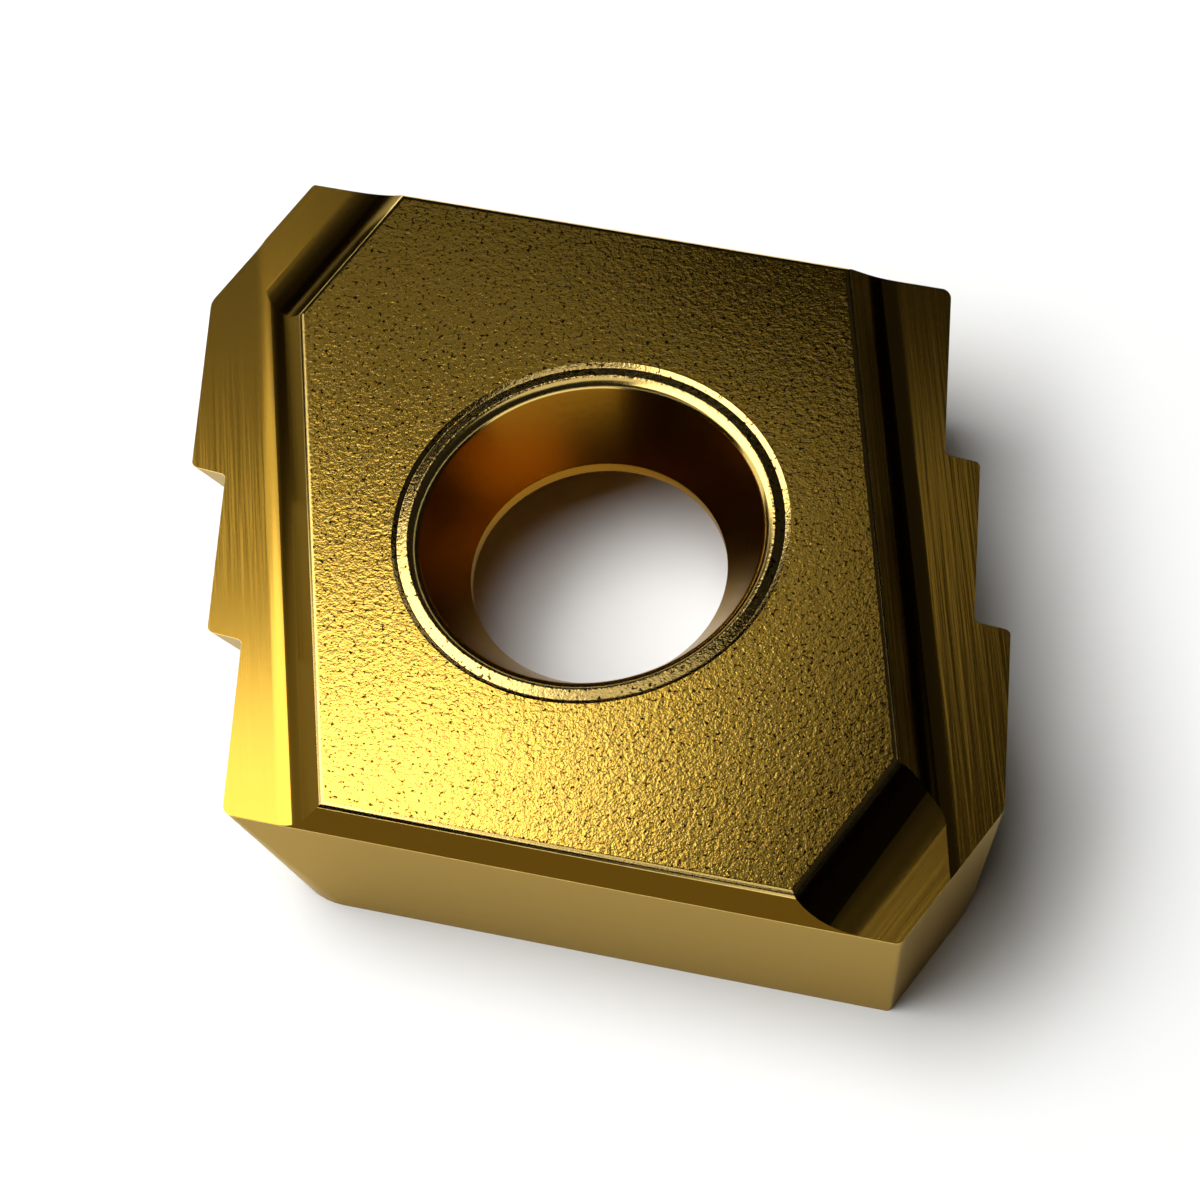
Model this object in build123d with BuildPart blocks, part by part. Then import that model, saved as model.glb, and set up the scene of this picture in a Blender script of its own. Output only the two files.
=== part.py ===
from build123d import *
import os
from math import cos, radians, sin, tan

# Carbide cutting insert, one sintered piece. Millimetres and degrees.
# Origin: on the clamp screw hole's axis, in the seating face. +Z points to the cutting face,
# X runs along the two straight flanks. The outline repeats after half a turn about Z.

# Heights above the seating face
pad_height = 5.1              # flat centre pad, the highest face
edge_height = 4.4             # level at which the outline below is given
side_edge_height = 4.4        # cutting edges of the stepped sides
corner_edge_height = 4.42     # cutting edges of the two cut corners
band_height = 4.38            # foot of the sloping band on the straight sides

# Outline, at edge_height
straight_width = 16.2         # across the two straight flanks
nose_offset = 6.05            # nose corner, sideways from the hole axis
tooth_lean = 11.8             # each tooth edge leans this much from the Y axis
step_depth = 0.8              # one tooth edge to the next, along X
low_step = -3.8               # where the lower step crosses, along Y
high_step = 0.22              # where the upper step crosses, along Y
step_tilt = 4.0               # step faces fall towards their root
corner_start = 4.53           # lower end of the cut corner, along Y
corner_angle = 69.0           # cut corner, from the X axis

# Relief of each flank, from the vertical
straight_relief = 7.4
tooth_relief = 10.0
step_relief = 20.0
corner_relief = 11.0

# Corner radii of the outline, at the pad's level and at the seating face
nose_radius = 0.1
nose_seat_radius = 1.5
heel_radius = 0.1             # between the cut corner and the first tooth
heel_seat_radius = 3.0
tip_radius = 0.18             # tooth tips
root_radius = 0.15            # tooth roots
corner_radius = 0.15          # between the cut corner and the straight flank

# Chip grooves, as ground from edge to pad
pad_to_side = 6.12            # hole axis to the pad's edge along the stepped sides
side_groove_angle = 19.0      # direction of the side groove, from the Y axis
side_rake = 0.5               # the ground floors fall inwards by this much
pad_to_corner = 8.9           # hole axis to the pad's edge along the cut corners
corner_rake = 0.5
wall_angle = 46.0             # groove wall, from the horizontal
side_groove_radius = 0.9
corner_groove_radius = 1.9
band_width = 0.3274           # sloping band along the straight sides, seen from above
pad_edge_radius = 0.18

# Screw hole, countersunk from the top and relieved from below
bore_radius = 2.83
sink_radius = 3.85
sink_angle = 60.0
lip_radius = 0.35
bore_land = 0.3               # straight wall left between the two cones
relief_angle = 72.0
ring_radius = 4.31            # fine groove round the countersink, at the pad's face
ring_inner_radius = 4.04
ring_depth = 0.1
ring_wall = 0.06

half_width = straight_width / 2
sink_depth = (sink_radius - bore_radius) / tan(radians(sink_angle / 2))
relief_depth = pad_height - sink_depth - bore_land
relief_radius = bore_radius + relief_depth * tan(radians(relief_angle / 2))
outside = straight_width      # reach of a cut that must run clear of the insert


def toothPoint(rank, y):
    # a point on tooth edge number rank, counted from the nose, at the height y along Y
    x = -nose_offset - rank * step_depth - (y + half_width) * tan(radians(tooth_lean))
    return Vector(x, y)


# Flanks in order, anticlockwise from the upper straight flank: a point, a heading and a relief
tooth_heading = 270 + tooth_lean
step_heading = 360 - step_tilt
flanks = [
    (Vector(0, half_width), 180, straight_relief),
    (toothPoint(2, corner_start), 180 + corner_angle, corner_relief),
    (toothPoint(2, high_step), tooth_heading, tooth_relief),
    (toothPoint(2, high_step), step_heading, step_relief),
    (toothPoint(1, low_step), tooth_heading, tooth_relief),
    (toothPoint(1, low_step), step_heading, step_relief),
    (toothPoint(0, low_step), tooth_heading, tooth_relief),
    (Vector(0, -half_width), 0, straight_relief),
]


def flankLine(flank, height):
    # the flank's line at a height: the relief draws it in below the edge level
    point, heading, relief = flank
    shift = (edge_height - height) * tan(radians(relief))
    inward = Vector(-sin(radians(heading)), cos(radians(heading)))
    return point + inward * shift, Vector(cos(radians(heading)), sin(radians(heading)))


def flankCorners(height):
    # where each flank meets the next, for one half of the outline
    corners = []
    for before, after in zip(flanks[:-1], flanks[1:]):
        p, u = flankLine(before, height)
        q, v = flankLine(after, height)
        reach = ((q.X - p.X) * v.Y - (q.Y - p.Y) * v.X) / (u.X * v.Y - u.Y * v.X)
        corners.append(p + u * reach)
    return corners


def radiusAt(pad_value, seat_value, height):
    # a corner radius that runs evenly from the seating face to the level of the pad
    return seat_value + (pad_value - seat_value) * height / pad_height


def outline(height):
    # rounded outline of the insert at a height
    half = flankCorners(height)
    radii = [
        corner_radius,
        radiusAt(heel_radius, heel_seat_radius, height),
        tip_radius,
        root_radius,
        tip_radius,
        root_radius,
        radiusAt(nose_radius, nose_seat_radius, height),
    ]
    with BuildSketch(Plane.XY.offset(height)) as section:
        Polygon(*[(p.X, p.Y) for p in half], *[(-p.X, -p.Y) for p in half], align=None)
        for corner, radius in zip(half, radii):
            for place in (corner, corner * -1):
                fillet(section.vertices().sort_by_distance(place)[0], radius=radius)
    return section.sketch


def groovePlane(outward):
    # section plane across a groove: local x runs outwards from the axis, local y runs up
    x_dir = Vector(cos(radians(outward)), sin(radians(outward)))
    return Plane(origin=(0, 0, 0), x_dir=x_dir, z_dir=(x_dir.Y, -x_dir.X, 0))


def grooveSection(plane, pad_edge, edge_reach, edge_level, rake, radius):
    # region above a ground chip groove: rake face from the cutting edge, round foot, wall
    wall = tan(radians(wall_angle))
    slope = tan(radians(rake))
    drop = pad_height - edge_level
    foot = (drop + slope * edge_reach + wall * pad_edge) / (wall + slope)
    foot_level = pad_height - wall * (foot - pad_edge)
    lip_level = foot_level + slope * (outside - foot)
    with BuildSketch(plane) as region:
        Polygon(
            (pad_edge - 1 / wall, pad_height + 1),
            (foot, foot_level),
            (outside, lip_level),
            (outside, pad_height + 1),
            align=None,
        )
        fillet(region.vertices().sort_by_distance(Vector(foot, foot_level))[0], radius=radius)
    return region.sketch


# Outlines of the blank, and the four chip grooves' sections
seat_outline = outline(0)
pad_outline = outline(pad_height)
nose = flankCorners(side_edge_height)[6]
heel = flankCorners(corner_edge_height)[1]
side_normal = Vector(-cos(radians(side_groove_angle)), -sin(radians(side_groove_angle)))
corner_normal = Vector(-sin(radians(corner_angle)), cos(radians(corner_angle)))
grooves = []
for turn in (0, 180):
    grooves.append(grooveSection(groovePlane(180 + side_groove_angle + turn), pad_to_side,
                                 nose.dot(side_normal), side_edge_height, side_rake,
                                 side_groove_radius))
    grooves.append(grooveSection(groovePlane(90 + corner_angle + turn), pad_to_corner,
                                 heel.dot(corner_normal), corner_edge_height, corner_rake,
                                 corner_groove_radius))

with BuildPart() as insert:
    # blank: seven flanks on each half turn, from the seating face to the level of the pad
    loft([seat_outline, pad_outline], ruled=True)

    # chip grooves behind the stepped edges and behind the cut corners, one on each side
    for groove in grooves:
        extrude(groove, amount=outside, both=True, mode=Mode.SUBTRACT)

    # sloping band between the pad and each straight flank
    pad_half_width = flankLine(flanks[0], band_height)[0].Y - band_width
    band_run = band_width / (pad_height - band_height)
    for side in (1, -1):
        with BuildSketch(Plane.YZ):
            Polygon(
                (side * (pad_half_width - band_run), pad_height + 1),
                (side * (pad_half_width + band_run * pad_height), 0),
                (side * outside, 0),
                (side * outside, pad_height + 1),
                align=None,
            )
        extrude(amount=outside, both=True, mode=Mode.SUBTRACT)

    pad = insert.faces().sort_by(Axis.Z)[-1]
    fillet(pad.outer_wire().edges(), radius=pad_edge_radius)

    # screw hole: countersink with a rounded lip, short straight wall, relief cone below
    with Locations(Plane.XY.offset(pad_height)):
        CounterSinkHole(radius=bore_radius, counter_sink_radius=sink_radius,
                        counter_sink_angle=sink_angle)
    with Locations(Plane.XY.reverse()):
        CounterSinkHole(radius=bore_radius, counter_sink_radius=relief_radius,
                        counter_sink_angle=relief_angle)
    mouth = insert.edges().filter_by(GeomType.CIRCLE).group_by(Axis.Z)[-1]
    fillet(mouth.sort_by_distance(Vector(sink_radius, 0, pad_height))[0], radius=lip_radius)

    # fine groove round the countersink
    with BuildSketch(Plane.XZ):
        Polygon(
            (ring_inner_radius, pad_height),
            (ring_radius - ring_wall, pad_height - ring_depth),
            (ring_radius + ring_wall, pad_height),
            align=None,
        )
    revolve(axis=Axis.Z, mode=Mode.SUBTRACT)

insert.part.label = "insert"

os.makedirs("parts", exist_ok=True)
export_step(insert.part, "parts/insert.step")
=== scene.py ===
import bpy
from math import atan2, cos, degrees, hypot, radians, sin, tan
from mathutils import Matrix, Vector


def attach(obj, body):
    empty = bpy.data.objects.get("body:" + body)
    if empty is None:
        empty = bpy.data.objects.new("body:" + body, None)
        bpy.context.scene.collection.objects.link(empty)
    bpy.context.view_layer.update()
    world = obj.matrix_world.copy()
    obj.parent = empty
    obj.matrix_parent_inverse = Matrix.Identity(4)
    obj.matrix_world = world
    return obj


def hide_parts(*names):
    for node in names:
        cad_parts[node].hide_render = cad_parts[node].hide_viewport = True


print("Loading the frame")
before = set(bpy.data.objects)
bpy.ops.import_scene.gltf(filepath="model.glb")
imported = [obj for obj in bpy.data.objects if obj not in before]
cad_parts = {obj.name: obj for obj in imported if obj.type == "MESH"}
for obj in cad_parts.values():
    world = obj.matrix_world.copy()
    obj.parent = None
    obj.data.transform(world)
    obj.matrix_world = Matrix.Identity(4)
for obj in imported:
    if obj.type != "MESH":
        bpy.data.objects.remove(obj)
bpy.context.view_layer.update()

mm = 0.001      # sizes below are in millimetres, angles in degrees and colours in sRGB hex


def hexColour(code):
    # sRGB hex to the linear values that the shader sockets take
    channels = [int(code[i:i + 2], 16) / 255 for i in (0, 2, 4)]
    return [c / 12.92 if c <= 0.04045 else ((c + 0.055) / 1.055) ** 2.4 for c in channels] + [1.0]


def addNode(tree, kind, inputs=None, **settings):
    # adds a node with its settings, its values and its incoming links
    node = tree.nodes.new(kind)
    for name, value in settings.items():
        setattr(node, name, value)
    for socket, value in (inputs or {}).items():
        if isinstance(value, bpy.types.NodeSocket):
            tree.links.new(value, node.inputs[socket])
        else:
            node.inputs[socket].default_value = value
    return node


def newMaterial(name):
    material = bpy.data.materials.new(name)
    material.use_nodes = True
    material.node_tree.nodes.clear()
    return material, material.node_tree


def selectOnly(*objects):
    # selects these objects, with the first one active
    bpy.ops.object.select_all(action="DESELECT")
    for obj in objects:
        obj.select_set(True)
    bpy.context.view_layer.objects.active = objects[0]


def deleteChosenFaces():
    # deletes the selected faces of the active object
    bpy.ops.object.mode_set(mode="EDIT")
    bpy.ops.mesh.select_mode(type="FACE")
    bpy.ops.mesh.delete(type="FACE")
    bpy.ops.object.mode_set(mode="OBJECT")


camera = {
    "location": (29.407, -61.172, 110.720),
    "rotation": (31.457, 6.3453, 15.5265),      # about X, then Y, then Z
    "lens": 173.57,
    "sensor": 36.0,
    "nearest": 1.0,         # nothing nearer to the camera than this is drawn
}
bpy.ops.object.select_all(action="DESELECT")
bpy.ops.object.camera_add(location=[c * mm for c in camera["location"]],
                          rotation=[radians(a) for a in camera["rotation"]])
cameraObject = bpy.context.object
cameraObject.data.lens = camera["lens"]
cameraObject.data.sensor_width = camera["sensor"]
cameraObject.data.clip_start = camera["nearest"] * mm
bpy.context.scene.camera = cameraObject
print("Camera placed")

# the insert's shape: levels above the seating face, and radii from the hole's axis
body = {
    "padLevel": 5.1,
    "steps": 192,           # faces round the hole
    "padCircle": 4.37,      # where the pad ends and the fine groove starts
    "grooveRadius": 4.25,
    "grooveHalf": 0.014,    # half the width of the fine groove's floor
    "grooveLevel": 5.049,
    "crestRadius": 4.045,   # where the fine groove ends and the lip starts
    "lipRadius": 0.35,
    "lipPoints": 10,
    "sinkRadius": 3.85,     # countersink, where it would meet the pad
    "sinkSlant": 30.0,      # from the axis
    "boreRadius": 2.83,
    "boreTop": 3.333,
    "boreFoot": 3.033,
    "throatBreak": 0.02,    # the throat's two edges are broken by this much
    "seatRadius": 5.034,    # relief cone, at the seating face
    "reliefSlant": 36.0,
    "seam": 0.006,          # the turned wall stops this short of the faces that it is joined to
    "edgeRounding": 0.045,  # honed cutting edges
    "edgeSteps": 2,
    "smoothUnder": 28.0,    # angle between faces that still shade as one surface
    "sideLay": 19.0,        # direction of the side grooves, from the Y axis
    "cornerLay": -21.0,     # direction of the corner grooves, from the Y axis
    "holeReach": 4.0,       # the hole and its lip lie inside this radius
    "lipReach": 3.79,       # the rounded lip is burnished down to this radius
    "ringReach": 4.4,       # the fine groove lies inside this radius
    "padEdgeDepth": 0.12,   # the pad's rounded edge, down from the pad
}
mergeUnder = 0.0005         # corners of the loose triangles closer than this are one point
flatUnder = 0.2             # triangles at a smaller angle than this are one flat face
slack = 0.01                # play when a face or an edge is picked by its place
padSlack = 0.003            # play in the pad's level
underside = -0.9            # a normal that points further down belongs to the seating face
coneTop = -0.1              # and one between these two belongs to the relief cone
flankTop = 0.25             # a flank's normal rises less than this
bandAcross = 0.75           # a band's normal points across the insert by more than this
bandAlong = 0.05            # and along it by less than this
wallTop = 0.93              # a groove wall's normal rises less than this
levelFrom = 0.99999         # a level face's normal rises more than this
laySlack = 20.0             # a cut's normals bear within this angle of its own bearing

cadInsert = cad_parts["insert"]
insert = bpy.data.objects.new("insertBody", cadInsert.data.copy())
bpy.context.collection.objects.link(insert)
selectOnly(insert)
bpy.ops.object.mode_set(mode="EDIT")
bpy.ops.mesh.select_all(action="SELECT")
bpy.ops.mesh.remove_doubles(threshold=mergeUnder * mm)
bpy.ops.mesh.dissolve_limited(angle_limit=radians(flatUnder))
bpy.ops.mesh.select_all(action="DESELECT")
bpy.ops.object.mode_set(mode="OBJECT")


def cornersOf(item):
    # the corners of a face or an edge of the insert, in millimetres
    return [insert.data.vertices[k].co / mm for k in item.vertices]


def reachOf(item):
    # its greatest distance from the hole's axis
    return max(hypot(c.x, c.y) for c in cornersOf(item))


def onCone(face):
    # whether a face belongs to the relief cone below the throat
    return reachOf(face) < body["seatRadius"] + slack and underside < face.normal.z < coneTop


def facesAtEdges():
    # the faces that share each edge of the insert
    sharing = {}
    for face in insert.data.polygons:
        for key in face.edge_keys:
            sharing.setdefault(key, []).append(face)
    return sharing


# the CAD facets of the hole and its fine groove make way for a finer turned wall
for face in insert.data.polygons:
    inHole = reachOf(face) < body["padCircle"] + slack
    clearOfSeat = min(c.z for c in cornersOf(face)) > slack
    face.select = (inHole and clearOfSeat) or onCone(face)
deleteChosenFaces()

# outline of the wall, from the pad down to the seating face
sinkSlant = radians(body["sinkSlant"])
reliefSlant = radians(body["reliefSlant"])
lipStart = body["sinkRadius"] + body["lipRadius"] * tan(sinkSlant)
lipTurns = [radians((90 - body["sinkSlant"]) * k / body["lipPoints"])
            for k in range(body["lipPoints"] + 1)]
notch = body["throatBreak"]
turnedPath = [
    (body["padCircle"] - body["seam"], body["padLevel"]),
    (body["grooveRadius"] + body["grooveHalf"], body["grooveLevel"]),
    (body["grooveRadius"] - body["grooveHalf"], body["grooveLevel"]),
]
turnedPath += [
    (min(lipStart - body["lipRadius"] * sin(turn), body["crestRadius"]),
     body["padLevel"] - body["lipRadius"] * (1 - cos(turn))) for turn in lipTurns
]
turnedPath += [
    (body["boreRadius"] + notch * sin(sinkSlant), body["boreTop"] + notch * cos(sinkSlant)),
    (body["boreRadius"], body["boreTop"] - notch),
    (body["boreRadius"], body["boreFoot"] + notch),
    (body["boreRadius"] + notch * sin(reliefSlant), body["boreFoot"] - notch * cos(reliefSlant)),
    (body["seatRadius"] - body["seam"], body["seam"]),
]
bpy.ops.object.select_all(action="DESELECT")
bpy.ops.mesh.primitive_circle_add(vertices=body["steps"], radius=turnedPath[0][0] * mm,
                                  location=(0, 0, 0))
turnedWall = bpy.context.object
bpy.ops.object.mode_set(mode="EDIT")
bpy.ops.transform.translate(value=(0, 0, turnedPath[0][1] * mm))
for before, after in zip(turnedPath[:-1], turnedPath[1:]):
    bpy.ops.mesh.extrude_edges_indiv()
    bpy.ops.transform.translate(value=(0, 0, (after[1] - before[1]) * mm))
    growth = after[0] / before[0]
    bpy.ops.transform.resize(value=(growth, growth, 1), center_override=(0, 0, 0))
bpy.ops.object.mode_set(mode="OBJECT")
selectOnly(insert, turnedWall)
bpy.ops.object.join()

# the wall's two rims are joined to the pad and to the seating face
for level, radius in ((body["padLevel"], body["padCircle"]), (0.0, body["seatRadius"])):
    sharing = facesAtEdges()
    for item in [*insert.data.polygons, *insert.data.vertices]:
        item.select = False
    for edge in insert.data.edges:
        edge.select = (len(sharing[tuple(sorted(edge.vertices))]) == 1 and
                       all(abs(c.z - level) < slack and abs(hypot(c.x, c.y) - radius) < slack
                           for c in cornersOf(edge)))
    bpy.ops.object.mode_set(mode="EDIT")
    bpy.ops.mesh.select_mode(type="EDGE")
    bpy.ops.mesh.bridge_edge_loops()
    bpy.ops.object.mode_set(mode="OBJECT")
bpy.ops.object.mode_set(mode="EDIT")
bpy.ops.mesh.select_all(action="SELECT")
bpy.ops.mesh.normals_make_consistent(inside=False)
bpy.ops.object.mode_set(mode="OBJECT")
print("Hole turned; edges not shared by two faces:",
      sum(1 for faces in facesAtEdges().values() if len(faces) != 2))

# The coating is titanium nitride, a few thousandths of a millimetre of it on sintered tungsten
# carbide. It mirrors like a metal, warm gold, and paler at a glancing angle.
coating = {
    "glancing": "fff3cc",
    # painted shade: the colour of the dark pits in the pores
    "poreShade": "4a3008",
    "poreShadeRange": (0.60, 0.70),      # the noise goes from coating to painted pore shade between these
    "patchRange": (0.40, 0.70),     # and from smooth to dull between these
}
# Each surface keeps the marks of how its carbide was made, and some of the colours below are
# painted shade or painted highlights. A fine grinding wheel leaves lines about 0.02 mm apart, too
# fine to show, so they are drawn up to six times as far apart.
finishesAndPaintedLight = {
    # pad, pressed from granules about 0.1 mm wide and sintered: rounded bumps that sparkle one
    # by one, some smoother than others, with painted shade in the small pores between them
    "pad": {"name": "sinteredNitride", "colour": "edc154", "smooth": 0.03, "dull": 0.10,
            "patch": 0.06, "grain": 0.105, "relief": 0.0036, "shadedPores": 0.10},
    # floors of the side grooves, ground along the groove: bright, with long soft streaks
    "sideFloor": {"name": "groundNitrideSide", "colour": "cfa23e", "roughness": 0.11,
                  "lines": (0.12, 6.0), "lay": (0, 0, body["sideLay"]), "relief": 0.0022},
    # floors of the corner grooves, ground along the groove too: a duller sheen, fainter streaks
    "cornerFloor": {"name": "groundNitrideCorner", "colour": "cfa23e", "roughness": 0.17,
                    "lines": (0.12, 6.0), "lay": (0, 0, body["cornerLay"]), "relief": 0.0016},
    # groove walls, ground by the wheel's shoulder: painted shade, a deep brown gold darker than
    # the coating, for the shade in the grooves
    "wall": {"name": "groundShadedNitrideWall", "colour": "5f4610", "roughness": 0.2,
             "lines": (0.12, 6.0), "lay": (0, 0, body["sideLay"]), "relief": 0.0022},
    # sloping bands along the straight sides, ground fine: painted shade, an even dark brown
    # strip, nearly unmarked
    "band": {"name": "groundShadedNitrideBand", "colour": "5e430e", "roughness": 0.2,
             "lines": (0.06, 4.0), "lay": (0, 0, 90), "relief": 0.0006},
    # flanks and seating face, ground in level strokes, so the pattern is thin upwards and wide
    # both ways along: a soft satin, with painted shade that makes them darker and browner than
    # the pad
    "flank": {"name": "groundShadedNitrideFlank", "colour": "917439", "roughness": 0.3,
              "lines": (4.0, 0.05), "lay": (90, 0, 0), "relief": 0.001},
    # rim inside the fine groove, pressed by the punch's collar: glittering, with a painted
    # highlight in its paler colour and painted shade in its pores
    "rim": {"name": "pressedHighlitNitrideRim", "colour": "f0cd78", "smooth": 0.06, "dull": 0.2,
            "patch": 0.05, "grain": 0.085, "relief": 0.009, "shadedPores": 0.09},
    # rounded edge of the pad and lip of the hole, brushed smooth: a thin line of light, partly a
    # painted highlight in its paler colour
    "padEdge": {"name": "highlitNitridePadEdge", "colour": "f0cd78", "roughness": 0.16,
                "grain": 0.085, "relief": 0.001},
    # countersink and throat, as pressed: painted shade, a darker colour for the shade in the
    # hole, which glows dull orange from wall to wall
    "hole": {"name": "pressedShadedNitrideHole", "colour": "966819", "roughness": 0.25,
             "grain": 0.2, "relief": 0.002},
    # cutting edges, honed with a brush: a hairline that catches the light, with a painted
    # highlight in its paler colour
    "edge": {"name": "honedHighlitNitrideEdge", "colour": "f0cd78", "roughness": 0.2,
             "grain": 0.1, "relief": 0.0005},
}


def coatedMaterial(look):
    material, tree = newMaterial(look["name"])
    place = addNode(tree, "ShaderNodeTexCoord").outputs["Object"]
    if "lines" in look:
        # a noise stretched to the lines' width and length; the lay turns it from the Y axis
        width, length = look["lines"]
        laid = addNode(tree, "ShaderNodeMapping",
                       {"Vector": place, "Rotation": [radians(t) for t in look["lay"]],
                        "Scale": (width * mm, length * mm, width * mm)}, vector_type="TEXTURE")
        height = addNode(tree, "ShaderNodeTexNoise", {"Vector": laid.outputs["Vector"],
                                                      "Scale": 1.0, "Detail": 2.0,
                                                      "Roughness": 0.6})
    else:
        # rounded grains of one size, with finer ones on them
        height = addNode(tree, "ShaderNodeTexNoise", {"Vector": place,
                                                      "Scale": 1 / (look["grain"] * mm),
                                                      "Detail": 3.0, "Roughness": 0.6})
    bump = addNode(tree, "ShaderNodeBump", {"Height": height.outputs["Fac"], "Strength": 1.0,
                                            "Distance": look["relief"] * mm})
    roughness = look.get("roughness")
    if "patch" in look:
        # patches from smooth to dull
        patches = addNode(tree, "ShaderNodeTexNoise", {"Vector": place,
                                                       "Scale": 1 / (look["patch"] * mm),
                                                       "Detail": 1.0})
        low, high = coating["patchRange"]
        spread = addNode(tree, "ShaderNodeMapRange", {"Value": patches.outputs["Fac"],
                                                      "From Min": low, "From Max": high,
                                                      "To Min": look["smooth"],
                                                      "To Max": look["dull"]})
        roughness = spread.outputs["Result"]
    tone = hexColour(look["colour"])
    if "shadedPores" in look:
        # painted shade: small pits darkened in colour where the coating dips into a pore
        shadedPores = addNode(tree, "ShaderNodeTexNoise", {"Vector": place,
                                                     "Scale": 1 / (look["shadedPores"] * mm),
                                                     "Detail": 1.0})
        ramp = addNode(tree, "ShaderNodeValToRGB", {"Fac": shadedPores.outputs["Fac"]})
        stops = zip(ramp.color_ramp.elements, coating["poreShadeRange"],
                    (tone, hexColour(coating["poreShade"])))
        for stop, position, colour in stops:
            stop.position = position
            stop.color = colour
        tone = ramp.outputs["Color"]
    shader = addNode(tree, "ShaderNodeBsdfPrincipled",
                     {"Base Color": tone, "Metallic": 1.0, "Roughness": roughness,
                      "Specular Tint": hexColour(coating["glancing"]),
                      "Normal": bump.outputs["Normal"]})
    addNode(tree, "ShaderNodeOutputMaterial", {"Surface": shader.outputs["BSDF"]})
    return material


insert.data.materials.clear()
for look in finishesAndPaintedLight.values():
    insert.data.materials.append(coatedMaterial(look))
order = list(finishesAndPaintedLight)


def bearingOf(normal):
    return degrees(atan2(normal.y, normal.x)) % 180


def finishAndPaintedLightOf(face):
    # which finish, with its painted light, a face takes, from its place and the way it faces
    n = face.normal
    depth = body["padLevel"] - min(c.z for c in cornersOf(face))
    reach = reachOf(face)
    if n.z < underside:
        return "flank"
    if depth < padSlack and reach > body["ringReach"]:
        return "pad"
    if body["lipReach"] < reach < body["holeReach"]:
        return "padEdge"
    if reach < body["holeReach"] or onCone(face):
        return "hole"
    if reach < body["ringReach"]:
        return "rim"
    if depth < body["padEdgeDepth"]:
        return "padEdge"
    if n.z < flankTop:
        return "flank"
    if abs(n.y) > bandAcross and abs(n.x) < bandAlong:
        return "band"
    if n.z < wallTop:
        return "wall"
    return "sideFloor" if abs(bearingOf(n) - body["sideLay"]) < laySlack else "cornerFloor"


for face in insert.data.polygons:
    face.material_index = order.index(finishAndPaintedLightOf(face))
print("Finishes given")

# the honed cutting edges: a fine rounding where a flank meets a floor or a band
weights = insert.data.attributes.new("bevel_weight_edge", "FLOAT", "EDGE")
sharing = facesAtEdges()
for edge in insert.data.edges:
    pair = {order[face.material_index] for face in sharing[tuple(sorted(edge.vertices))]}
    honed = "flank" in pair and pair & {"sideFloor", "cornerFloor", "band"}
    weights.data[edge.index].value = 1.0 if honed else 0.0
bpy.ops.object.modifier_add(type="BEVEL")
hone = insert.modifiers[-1]
hone.limit_method = "WEIGHT"
hone.width = body["edgeRounding"] * mm
hone.segments = body["edgeSteps"]
hone.material = order.index("edge")
bpy.ops.object.modifier_apply(modifier=hone.name)

bpy.ops.object.shade_smooth_by_angle(angle=radians(body["smoothUnder"]))


def cutOf(face):
    # which cut made an upper face: its normal leans along that cut's own bearing
    n = face.normal
    centre = face.center / mm
    if n.z > levelFrom or n.z < flankTop or hypot(centre.x, centre.y) < body["ringReach"]:
        return "other"
    if abs(bearingOf(n) - body["sideLay"]) < laySlack:
        return "side"
    return "band" if abs(bearingOf(n) - 90) < laySlack else "corner"


# faces of one cut shade into each other, the larger ones counting more; two cuts never do
around = {}
for face in insert.data.polygons:
    for k in face.vertices:
        around.setdefault(k, []).append(face)
cuts = [cutOf(face) for face in insert.data.polygons]
shading = []
for face in insert.data.polygons:
    for k in face.vertices:
        blend = Vector((0, 0, 0))
        for near in around[k]:
            met = {cuts[face.index], cuts[near.index]} - {"other"}
            if len(met) < 2 and degrees(face.normal.angle(near.normal)) < body["smoothUnder"]:
                blend += near.normal * near.area
        shading.append(blend.normalized())
insert.data.normals_split_custom_set(shading)
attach(insert, "root")
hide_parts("insert")
print("Insert finished:", len(insert.data.polygons), "faces")


def dullMaterial(name, colour):
    # uncoated paper or card: one even colour with no shine
    material, tree = newMaterial(name)
    diffuse = addNode(tree, "ShaderNodeBsdfDiffuse", {"Color": hexColour(colour)})
    addNode(tree, "ShaderNodeOutputMaterial", {"Surface": diffuse.outputs["BSDF"]})
    return material


def standRound(name, size):
    # an open cylinder that stands on the floor round the insert
    bpy.ops.object.select_all(action="DESELECT")
    bpy.ops.mesh.primitive_cylinder_add(vertices=size["sides"], radius=size["reach"] * mm,
                                        depth=size["height"] * mm, end_fill_type="NOTHING",
                                        location=(0, 0, size["height"] * mm / 2))
    bpy.context.object.name = name
    return bpy.context.object


# pale paper floor: white away from the insert, soft grey in its shadow
floorSheet = {
    "size": 2000,
    "colour": "f4f4f2",
}
bpy.ops.object.select_all(action="DESELECT")
bpy.ops.mesh.primitive_plane_add(size=floorSheet["size"] * mm, location=(0, 0, 0))
floor = bpy.context.object
floor.name = "floor"
floor.data.materials.append(dullMaterial("palePaper", floorSheet["colour"]))

# black card round the set, which only reflections see: it keeps the groove walls dark
blackCard = {
    "reach": 60,
    "height": 38,
    "sides": 64,
    "colour": "101010",
    "gaps": ((-94, -24), (166, 194)),       # bearings between which the card stands open
}
card = standRound("blackCard", blackCard)
card.data.materials.append(dullMaterial("blackCard", blackCard["colour"]))
bpy.ops.object.mode_set(mode="EDIT")
bpy.ops.mesh.select_all(action="DESELECT")
bpy.ops.object.mode_set(mode="OBJECT")
for face in card.data.polygons:
    bearing = degrees(atan2(face.center.y, face.center.x))
    face.select = any(start < turn < end for start, end in blackCard["gaps"]
                      for turn in (bearing, bearing + 360))
deleteChosenFaces()
for rayKind in ("camera", "diffuse", "transmission", "shadow"):
    setattr(card, "visible_" + rayKind, False)

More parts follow.
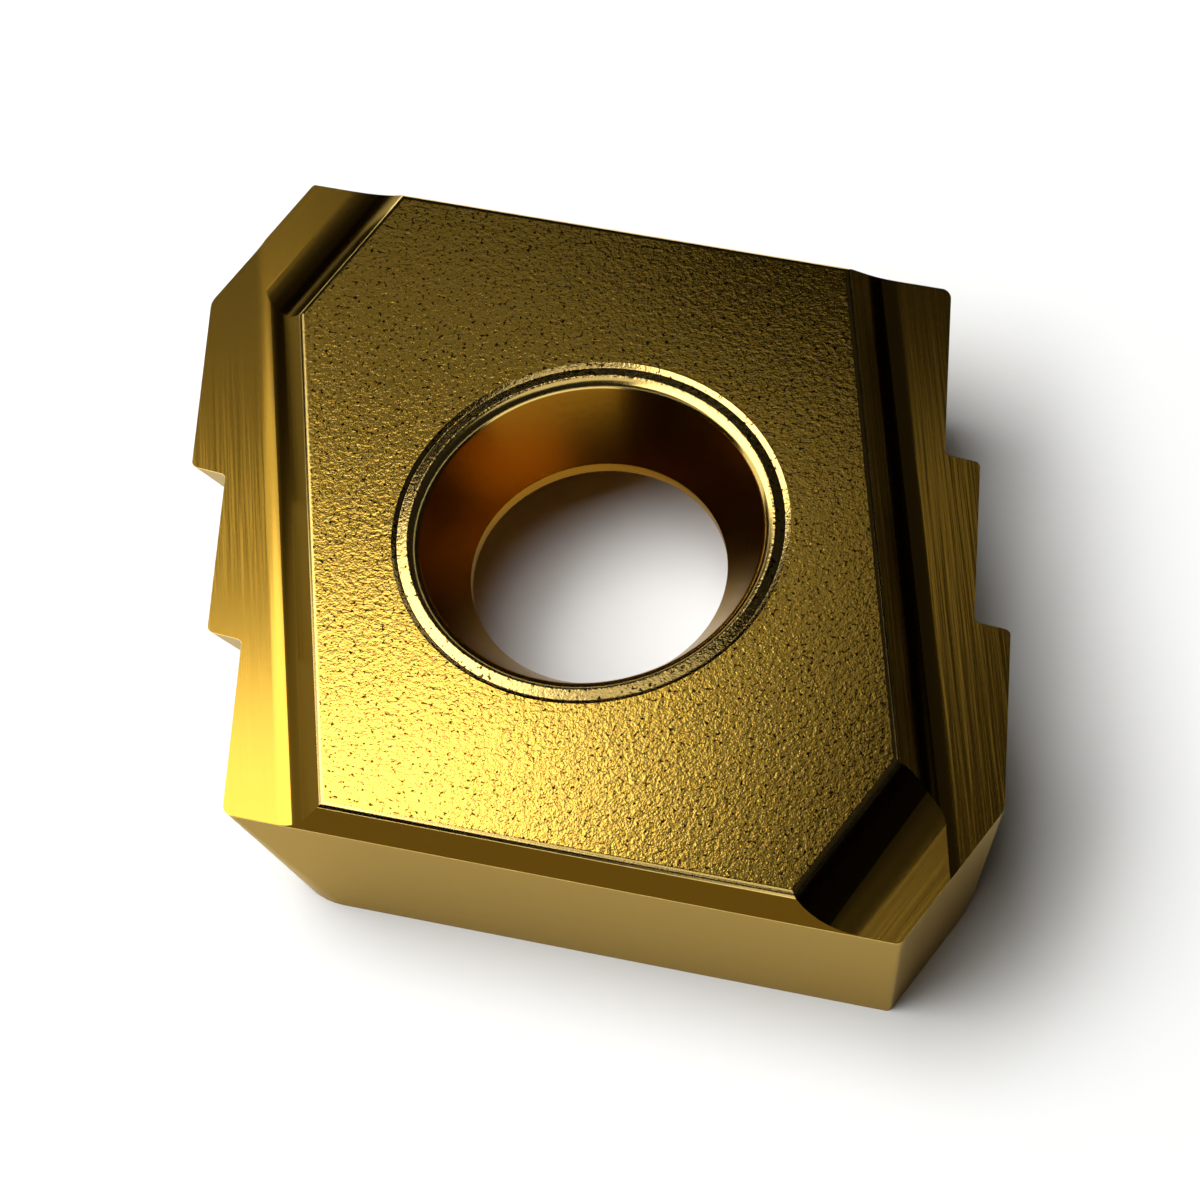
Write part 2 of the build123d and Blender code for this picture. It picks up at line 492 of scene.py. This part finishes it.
# white paper behind the card: white to the camera and in reflections, and it gives no light
backdrop = {
    "reach": 340,
    "height": 205,
    "sides": 96,
}
sweep = standRound("backdrop", backdrop)
sweepMaterial, tree = newMaterial("whitePaper")
ray = addNode(tree, "ShaderNodeLightPath").outputs
seen = addNode(tree, "ShaderNodeMath", {0: ray["Is Camera Ray"], 1: ray["Is Glossy Ray"]},
               operation="MAXIMUM")
seen = addNode(tree, "ShaderNodeMath", {0: seen.outputs["Value"], 1: ray["Is Transmission Ray"]},
               operation="MAXIMUM")
glow = addNode(tree, "ShaderNodeEmission", {"Strength": seen.outputs["Value"]})
addNode(tree, "ShaderNodeOutputMaterial", {"Surface": glow.outputs["Emission"]})
sweep.data.materials.append(sweepMaterial)

roomColour = "1e1e1e"       # dim room above the backdrop
world = bpy.data.worlds.new("studio")
bpy.context.scene.world = world
world.use_nodes = True
world.node_tree.nodes["Background"].inputs["Color"].default_value = hexColour(roomColour)
print("Floor, card and backdrop placed")

# lamps, with their power in watts; each shines straight down unless it has an aim
lamps = {
    # large panel at the left, which the lower left of the pad mirrors
    "mainPanel": {"place": (-195, -25, 205), "size": (278, 253), "power": 0.640},
    # small panels behind it, for the upper part of the pad and the grooves
    "hotPanel": {"place": (-60, 98, 205), "size": (20, 20), "power": 0.0025},
    "leftStrip": {"place": (-203, 111, 205), "size": (254, 8), "power": 0.0075},
    "leftBack": {"place": (-193, 128, 205), "size": (270, 26), "power": 0.0030},
    "rightFill": {"place": (-48.5, 104, 205), "size": (25, 46), "power": 0.00075},
    # overhead panel, which the pad's front edge mirrors, and the pad in views from above
    "topPanel": {"place": (0, -15, 330), "size": (150, 150), "power": 0.050},
    # soft light for the floor, which no reflection shows
    "floorLamp": {"place": (-140, -70, 430), "aim": (0, 0, 0), "size": (420, 420), "power": 1.9,
                  "mirrored": False},
}
for name, lamp in lamps.items():
    place = Vector(lamp["place"]) * mm
    aim = Vector(lamp.get("aim", (*lamp["place"][:2], 0))) * mm
    facing = (aim - place).to_track_quat("-Z", "Y").to_euler()
    bpy.ops.object.light_add(type="AREA", location=place, rotation=facing)
    light = bpy.context.object
    light.name = name
    light.data.shape = "RECTANGLE"
    light.data.size = lamp["size"][0] * mm
    light.data.size_y = lamp["size"][1] * mm
    light.data.energy = lamp["power"]
    light.visible_glossy = lamp.get("mirrored", True)
print("Lamps placed")

bpy.context.scene.view_settings.view_transform = "Standard"
